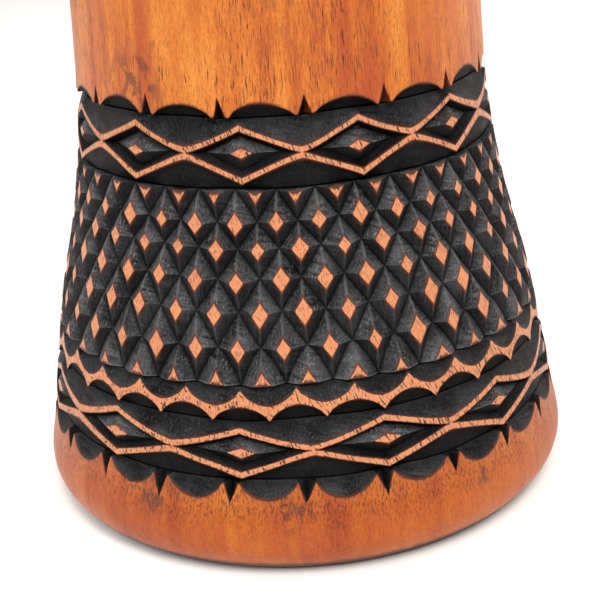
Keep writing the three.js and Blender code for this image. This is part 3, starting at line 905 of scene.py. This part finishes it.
def splitLongEdges():
    # halves each edge that is too long for its place, from both sides alike, until none is left
    radii = outerRadius(np.arange(0, shell["outer"][-1][0] + 5)).tolist()
    while True:
        middles = {}

        def middleOf(a, b):
            key = (a, b) if a < b else (b, a)
            if key not in middles:
                (angle, z, depth), (angleB, zB, depthB) = flat[key[0]], flat[key[1]]
                turn = turnBetween(angle, angleB)
                middle = ((angle + turn / 2) % 360, (z + zB) / 2, (depth + depthB) / 2)
                length = math.hypot(math.radians(turn) * radii[int(middle[1])], z - zB, depth - depthB)
                away = max(shell["carvedFrom"] - middle[1], middle[1] - shell["carvedTo"], 0)
                longest = min(shell["fineEdge"] + away * shell["coarsen"], shell["coarseEdge"])
                middles[key] = None
                if length > longest:
                    middles[key] = len(flat)
                    flat.append(middle)
            return middles[key]

        newFaces, newKinds = [], []
        for corners, kind in zip(faces, kinds):
            cuts = [middleOf(corners[i], corners[(i + 1) % 3]) for i in range(3)]
            parts = cutTriangle(corners, cuts)
            newFaces += parts
            newKinds += [kind] * len(parts)
        done = len(newFaces) == len(faces)
        faces[:] = newFaces
        kinds[:] = newKinds
        if done:
            break


def wrapOutside():
    # round the drum, with the small wavers of handwork in the carving
    places = []
    middle = (shell["carvedFrom"] + shell["carvedTo"]) / 2
    reach = (shell["carvedTo"] - shell["carvedFrom"]) / 2 + handwork["fade"]
    for angle, z, depth in flat:
        turn = math.radians(angle)
        spot = Vector(around(turn, handwork["readAt"], z))
        fade = min(max((reach - abs(z - middle)) / handwork["fade"], 0), 1)
        slow = noise.noise_vector(spot / handwork["waverSize"]) * handwork["waver"] * fade
        fast = noise.noise_vector(spot / handwork["finerSize"]) * handwork["finer"] * fade
        shift = slow + fast
        z += shift.z
        turn += shift.x / handwork["readAt"]
        if depth > 0:
            depth *= 1 + handwork["depthChange"] * 2 * shift.y
        places.append(around(turn, float(outerRadius(z)) - depth, z))
    return places


def drawInside(places):
    # under the foot, up the hollow and over the rim, as rings that start and end on the outside's own
    sides, mouth = shell["sides"], shell["hollow"][0][1]
    width, length, depth = shell["gouge"]
    lowest, highest = shell["gougedBetween"]
    heights = np.linspace(2, shell["hollow"][-1][0], shell["hollowRings"])
    profile = [(0, mouth + outside) for outside in shell["undersideRings"]]
    profile += [(float(z), float(hollowRadius(z))) for z in heights]
    profile += shell["rim"][1:-1]
    rings = [plainRing(0)]
    for z, radius in profile:
        rings.append(list(range(len(places), len(places) + sides)))
        for i in range(sides):
            turn = 2 * math.pi * i / sides
            gouge = 0.0
            if lowest < z < highest:
                x, y, _ = around(turn, radius, z)
                gouge = abs(noise.noise(Vector((x / width, y / width, z / length)))) * depth
            places.append(around(turn, radius + gouge, z))
    rings.append(plainRing(shell["outer"][-1][0]))
    for lower, upper in zip(rings, rings[1:]):
        for i in range(sides):
            ahead = (i + 1) % sides
            faces.append((lower[i], lower[ahead], upper[ahead]))
            faces.append((lower[i], upper[ahead], upper[i]))
            kinds.extend([hewn, hewn])


def toolMarks():
    # pushes the cut faces in and out a little, as a chisel leaves them, and gives each kind its finish
    tree, node, given = newTree("toolMarks", {
        "Depth": ("NodeSocketFloat", 0.1 * mm),
        "Mark Size": ("NodeSocketFloat", 3 * mm),
        "Seed": ("NodeSocketFloat", 1.0),
        "Oiled": ("NodeSocketMaterial", None),
        "Charred": ("NodeSocketMaterial", None),
        "Raw": ("NodeSocketMaterial", None),
    })
    scale = node("divide", 1.0, given["Mark Size"])
    marks = node("ShaderNodeTexNoise", noise_dimensions="4D", named={
        "W": given["Seed"], "Scale": scale, "Detail": 1.0,
    })
    deep = node("multiply", node("subtract", marks, 0.5), given["Depth"])
    cut = node("GeometryNodeInputNamedAttribute", "cut", data_type="FLOAT")
    push = node("scaled", node("GeometryNodeInputNormal"), node("multiply", deep, cut))
    moved = node("GeometryNodeSetPosition", given["Geometry"], named={"Offset": push})
    real = node("GeometryNodeRealizeInstances", moved)
    geometry = node("GeometryNodeSetMaterial", real, named={"Material": given["Oiled"]})
    for name, finish in (("charred", "Charred"), ("hewn", "Raw")):
        chosen = node("GeometryNodeInputNamedAttribute", name, data_type="BOOLEAN")
        geometry = node("GeometryNodeSetMaterial", geometry, chosen, given[finish])
    node("NodeGroupOutput", geometry)
    return tree


def edgeTurns(mesh):
    # how sharply the surface turns at each point: over a ridge, and into a valley, from 0 to 1
    sharpest = math.radians(60)
    work = bmesh.new()
    work.from_mesh(mesh)
    ridge, valley = np.zeros(len(work.verts)), np.zeros(len(work.verts))
    for edge in work.edges:
        turn = edge.calc_face_angle_signed(0.0) / sharpest
        for vertex in edge.verts:
            ridge[vertex.index] = max(ridge[vertex.index], min(turn, 1))
            valley[vertex.index] = max(valley[vertex.index], min(-turn, 1))
    work.free()
    return ridge, valley


def addMarks(mesh, pointCount):
    # what the finishes and the tool marks read from the mesh: kinds on its faces, edges on its points
    ridge, valley = edgeTurns(mesh)
    kindOf = np.array(kinds)
    corners = np.array(faces)
    isChar = np.isin(kindOf, (char, scooped, sootAndShade, browned))
    touchesChar = np.zeros(pointCount, bool)
    touchesWood = np.zeros(pointCount, bool)
    touchesChar[corners[isChar].ravel()] = True
    touchesWood[corners[~isChar].ravel()] = True
    depth = np.zeros(pointCount)
    depth[:len(flat)] = [p[2] / groove["depth"] for p in flat]
    for name, domain, kind, values in (
        ("charred", "FACE", "BOOLEAN", isChar),
        ("hewn", "FACE", "BOOLEAN", kindOf == hewn),
        ("raised", "FACE", "FLOAT", (kindOf == raisedWood).astype(float)),
        ("sootAndShade", "FACE", "FLOAT", [sootAndShadeOf.get(k, 0.0) for k in kinds]),
        ("browned", "FACE", "FLOAT", (kindOf == browned).astype(float)),
        ("scorch", "POINT", "FLOAT", (touchesChar & touchesWood).astype(float)),
        ("cut", "POINT", "FLOAT", (touchesChar & ~touchesWood).astype(float)),
        ("ridge", "POINT", "FLOAT", ridge),
        ("valley", "POINT", "FLOAT", valley),
        ("depth", "POINT", "FLOAT", depth),
    ):
        mesh.attributes.new(name, kind, domain).data.foreach_set("value", values)


def makeShell():
    drawOutside()
    splitLongEdges()
    places = wrapOutside()
    drawInside(places)
    mesh = meshFrom("carved_shell", places, faces)
    turnOutwards(mesh)
    addMarks(mesh, len(places))
    piece = addPiece("carved_shell", mesh)
    bakeTree(piece, toolMarks(), {
        "Depth": 0.25 * mm, "Mark Size": 3.5 * mm, "Seed": 3.0,
        "Oiled": finishes["oiled"], "Charred": finishes["charred"], "Raw": finishes["raw"],
    })
    piece.data.shade_smooth()
    piece.data.set_sharp_from_angle(angle=math.radians(shell["sharpFrom"]))
    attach(piece, "root")
    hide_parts("shell")
    print("shell is carved:", len(piece.data.polygons), "triangles")


makeShell()


# The head: goat skin over the rim, folded up round the flesh ring, its hem under the crown ring

head = {
    "thickness": 1.0,
    "gap": 0.3,
    "hemHeight": 560,
    "hemWave": 1.6,            # the trimmed edge is a little uneven
    "hemWaves": 24,
    "pucker": 0.35,            # small folds where the skin goes round the ring
    "puckers": 64,
    "puckersFrom": 600,        # they grow from here down
    "puckersOver": 40,
    "sides": 288,
    "topSteps": 16,
    "rimSteps": 4,
    "sideSteps": 12,
    "foldSteps": 10,
    "seed": 5,
}
irons = {                      # height, radius of the rod, what lies under it
    "flesh": (556, 3.5, 1.3),
    "crown": (564.6, 4, 1.3),
    "waist": (283, 3.5, 0),
}


def ironRadius(name):
    height, rod, under = irons[name]
    return float(outerRadius(height)) + head["gap"] + under + rod


def skinProfile():
    # the middle of the skin's thickness from the head's centre to the hem, as (radius, height)
    half = head["thickness"] / 2
    top = shell["rim"][1][0] + head["gap"] + half
    edge = shell["rim"][2][1] + head["gap"]
    foldHeight, rod, _ = irons["flesh"]
    fold = ironRadius("flesh")
    reach = rod + head["gap"] + half
    profile = [(edge * k / head["topSteps"], top) for k in range(head["topSteps"] + 1)]
    side = float(outerRadius(shell["outer"][-1][0])) + head["gap"] + half
    for k in range(1, head["rimSteps"] + 1):                # over the rim's edge
        turn = math.pi / 2 * k / head["rimSteps"]
        profile.append((edge + (side - edge) * math.sin(turn), top - (side - edge) * (1 - math.cos(turn))))
    for z in np.linspace(shell["rim"][0][0], foldHeight + 3, head["sideSteps"]):
        profile.append((float(outerRadius(z)) + head["gap"] + half, float(z)))
    for k in range(head["foldSteps"] + 1):                  # round under the flesh ring
        turn = math.pi * (1 - k / head["foldSteps"])
        profile.append((fold + reach * math.cos(turn), foldHeight - reach * math.sin(turn)))
    profile += [(fold + reach + 0.1, foldHeight + 2), (fold + reach + 0.15, head["hemHeight"])]
    return profile


def skinRings(profile):
    # the points of both sides of the skin, a ring for each place on the profile
    sides, half = head["sides"], head["thickness"] / 2
    random.seed(head["seed"])
    hem = [random.uniform(-1, 1) for _ in range(head["hemWaves"])]
    foldStart = len(profile) - head["foldSteps"] - 3
    points, rings = [], []
    for side in (1, -1):
        for k, (radius, z) in enumerate(profile):
            before, after = profile[max(k - 1, 0)], profile[min(k + 1, len(profile) - 1)]
            along = Vector((after[0] - before[0], after[1] - before[1])).normalized()
            radius, z = radius - along.y * half * side, z + along.x * half * side
            low = min(max((head["puckersFrom"] - z) / head["puckersOver"], 0), 1)
            if k <= head["topSteps"]:
                low = 0
            ring = []
            for i in range(sides if k else 1):
                turn = 2 * math.pi * i / sides
                fold = head["pucker"] * low * math.sin(turn * head["puckers"] + 2 * math.sin(turn * 5))
                rise = 0
                if k == len(profile) - 1:
                    wave, share = divmod(i * len(hem) / sides, 1)
                    rise = hem[int(wave)] * (1 - share) + hem[(int(wave) + 1) % len(hem)] * share
                ring.append(len(points))
                pushed = radius + max(fold, 0) * (1 if k < foldStart else 0.5)
                points.append(around(turn, pushed, z + head["hemWave"] * rise))
            rings.append(ring)
    return points, rings


def makeSkin():
    profile = skinProfile()
    points, rings = skinRings(profile)
    outside, inside = rings[:len(profile)], rings[len(profile):]
    closed = outside + inside[::-1]
    skinFaces = []
    for first, second in zip(closed, closed[1:]):
        for i in range(head["sides"]):
            ahead = (i + 1) % head["sides"]
            if len(first) == 1:
                skinFaces.append((first[0], second[i], second[ahead]))
            elif len(second) == 1:
                skinFaces.append((first[i], second[0], first[ahead]))
            else:
                skinFaces.append((first[i], second[i], second[ahead], first[ahead]))
    mesh = meshFrom("goat_skin", points, skinFaces)
    turnOutwards(mesh)
    mesh.materials.append(finishes["skin"])
    mesh.shade_smooth()
    piece = addPiece("goat_skin", mesh)
    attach(piece, "root")
    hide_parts("skin_head")


makeSkin()
print("skin is on")


# The iron rings: rod bent round and welded, under paint

def ironRing():
    tree, node, given = newTree("ironRing", {
        "Radius": ("NodeSocketFloat", 0.1),
        "Rod Radius": ("NodeSocketFloat", 0.004),
        "Height": ("NodeSocketFloat", 0.0),
        "Weld Size": ("NodeSocketFloat", 0.15),
        "Finish": ("NodeSocketMaterial", None),
    })
    circle = node("GeometryNodeCurvePrimitiveCircle", mode="RADIUS", named={
        "Resolution": 240, "Radius": given["Radius"],
    })
    # the weld: the rod is thicker for a few steps at the back
    step = node("GeometryNodeSplineParameter")
    away = node("absolute", node("subtract", step, 0.31))
    bead = node("range", away, 0.0, 0.008, given["Weld Size"], 0.0)
    sized = node("GeometryNodeSetCurveRadius", circle, named={"Radius": node("add", 1.0, bead)})
    rod = node("GeometryNodeCurvePrimitiveCircle", mode="RADIUS", named={
        "Resolution": 14, "Radius": given["Rod Radius"],
    })
    tube = node("GeometryNodeCurveToMesh", sized, rod, node("GeometryNodeInputRadius"))
    lift = node("ShaderNodeCombineXYZ", named={"Z": given["Height"]})
    lifted = node("GeometryNodeSetPosition", tube, named={"Offset": lift})
    real = node("GeometryNodeRealizeInstances", node("GeometryNodeSetShadeSmooth", lifted))
    node("NodeGroupOutput", node("GeometryNodeSetMaterial", real, named={"Material": given["Finish"]}))
    return tree


def makeRings():
    tree = ironRing()
    for name, (height, rod, _) in irons.items():
        ring = addPiece(name + "_iron", bpy.data.meshes.new(name + "_iron"))
        bakeTree(ring, tree, {
            "Radius": ironRadius(name) * mm, "Rod Radius": rod * mm, "Height": height * mm,
            "Weld Size": 0.03, "Finish": finishes["iron"],
        })
        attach(ring, "root")
        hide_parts(name + "_ring")


makeRings()
print("rings are bent")


# The rope: loops on the crown ring and the waist ring, and the lacing that pulls them together

rope = {
    "radius": 2.6,
    "crossing": 5.7,           # how far a lacing bend lies off the loops, in front and behind
    "layLength": 27,           # one full turn of the strands
    "step": 2.4,
    "bend": 4.5,
    "strandDepth": 0.24,
    "count": 22,
    "loopHalf": 7,
    "crownDrop": 36,
    "waistRise": 26,
    "lacingHalf": 4.2,
    "cone": ((97.6, 283), (168.6, 566)),        # radius and height at the waist and at the crown
}


def onCone(angle, across, z, off=0.0):
    # a place on the cone that the ropes lie on, off being the distance outwards from it
    (lowRadius, lowHeight), (highRadius, highHeight) = rope["cone"]
    slope = (highRadius - lowRadius) / (highHeight - lowHeight)
    lean = math.atan(slope)
    radius = lowRadius + (z - lowHeight) * slope + off * math.cos(lean)
    return around(math.radians(angle) + across / radius, radius, z - off * math.sin(lean))


def loopCorners(ringHeight, reach):
    corners = []
    for i in range(rope["count"]):
        angle = (i + 0.5) * 360 / rope["count"]
        for across, rise in ((-1, 0), (-1, reach), (1, reach), (1, 0)):
            corners.append(onCone(angle, across * rope["loopHalf"], ringHeight + rise))
    return corners


def lacingCorners():
    topBend = rope["cone"][1][1] - rope["crownDrop"] + rope["crossing"]
    lowBend = rope["cone"][0][1] + rope["waistRise"] - rope["crossing"]
    corners = []
    for i in range(rope["count"]):
        for place, z in ((i + 0.5, topBend), (i + 1.5, lowBend)):
            angle = place * 360 / rope["count"]
            for side in (-1, 1):
                corners.append(onCone(angle, side * rope["lacingHalf"], z, -side * rope["crossing"]))
    return corners


def twistedRope():
    # a closed path of corners becomes a three-strand rope with rounded bends
    tree, node, given = newTree("twistedRope", {
        "Rope Radius": ("NodeSocketFloat", 0.0026),
        "Lay Length": ("NodeSocketFloat", 0.027),
        "Step": ("NodeSocketFloat", 0.0024),
        "Bend Radius": ("NodeSocketFloat", 0.0045),
        "Strand Depth": ("NodeSocketFloat", 0.24),
        "Finish": ("NodeSocketMaterial", None),
    })
    path = node("GeometryNodeMeshToCurve", given["Geometry"])
    rounded = node("GeometryNodeFilletCurve", path, 5, given["Bend Radius"], True, mode="POLY")
    even = node("GeometryNodeResampleCurve", rounded, mode="LENGTH", named={"Length": given["Step"]})
    # a whole number of turns, so that the strands meet where the path closes
    length = node("GeometryNodeSplineLength")
    turns = node("round", node("divide", length, given["Lay Length"]))
    tilt = node("multiply", node("multiply", turns, node("GeometryNodeSplineParameter")), 2 * math.pi)
    twisted = node("GeometryNodeSetCurveTilt", even, named={"Tilt": tilt})
    # the section: a circle drawn in at three places, between the strands
    circle = node("GeometryNodeCurvePrimitiveCircle", mode="RADIUS", named={
        "Resolution": 12, "Radius": given["Rope Radius"],
    })
    swing = node("cosine", node("multiply", node("GeometryNodeSplineParameter"), 3 * math.pi))
    drawn = node("multiply", node("subtract", node("absolute", swing), 1.0), given["Strand Depth"])
    pull = node("scaled", node("GeometryNodeInputPosition"), drawn)
    section = node("GeometryNodeSetPosition", circle, named={"Offset": pull})
    tube = node("GeometryNodeSetShadeSmooth", node("GeometryNodeCurveToMesh", twisted, section))
    real = node("GeometryNodeRealizeInstances", tube)
    node("NodeGroupOutput", node("GeometryNodeSetMaterial", real, named={"Material": given["Finish"]}))
    return tree


def makeRopes():
    tree = twistedRope()
    (_, lowHeight), (_, highHeight) = rope["cone"]
    for name, node, corners in (
        ("crown_rope", "crown_loops", loopCorners(highHeight, -rope["crownDrop"])),
        ("waist_rope", "waist_loops", loopCorners(lowHeight, rope["waistRise"])),
        ("lacing_rope", "lacing", lacingCorners()),
    ):
        links = [(i, (i + 1) % len(corners)) for i in range(len(corners))]
        piece = addPiece(name, meshFrom(name, corners, [], links))
        bakeTree(piece, tree, {
            "Rope Radius": rope["radius"] * mm, "Lay Length": rope["layLength"] * mm,
            "Step": rope["step"] * mm, "Bend Radius": rope["bend"] * mm,
            "Strand Depth": rope["strandDepth"], "Finish": finishes["rope"],
        })
        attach(piece, "root")
        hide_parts(node)


makeRopes()
print("ropes are laced")
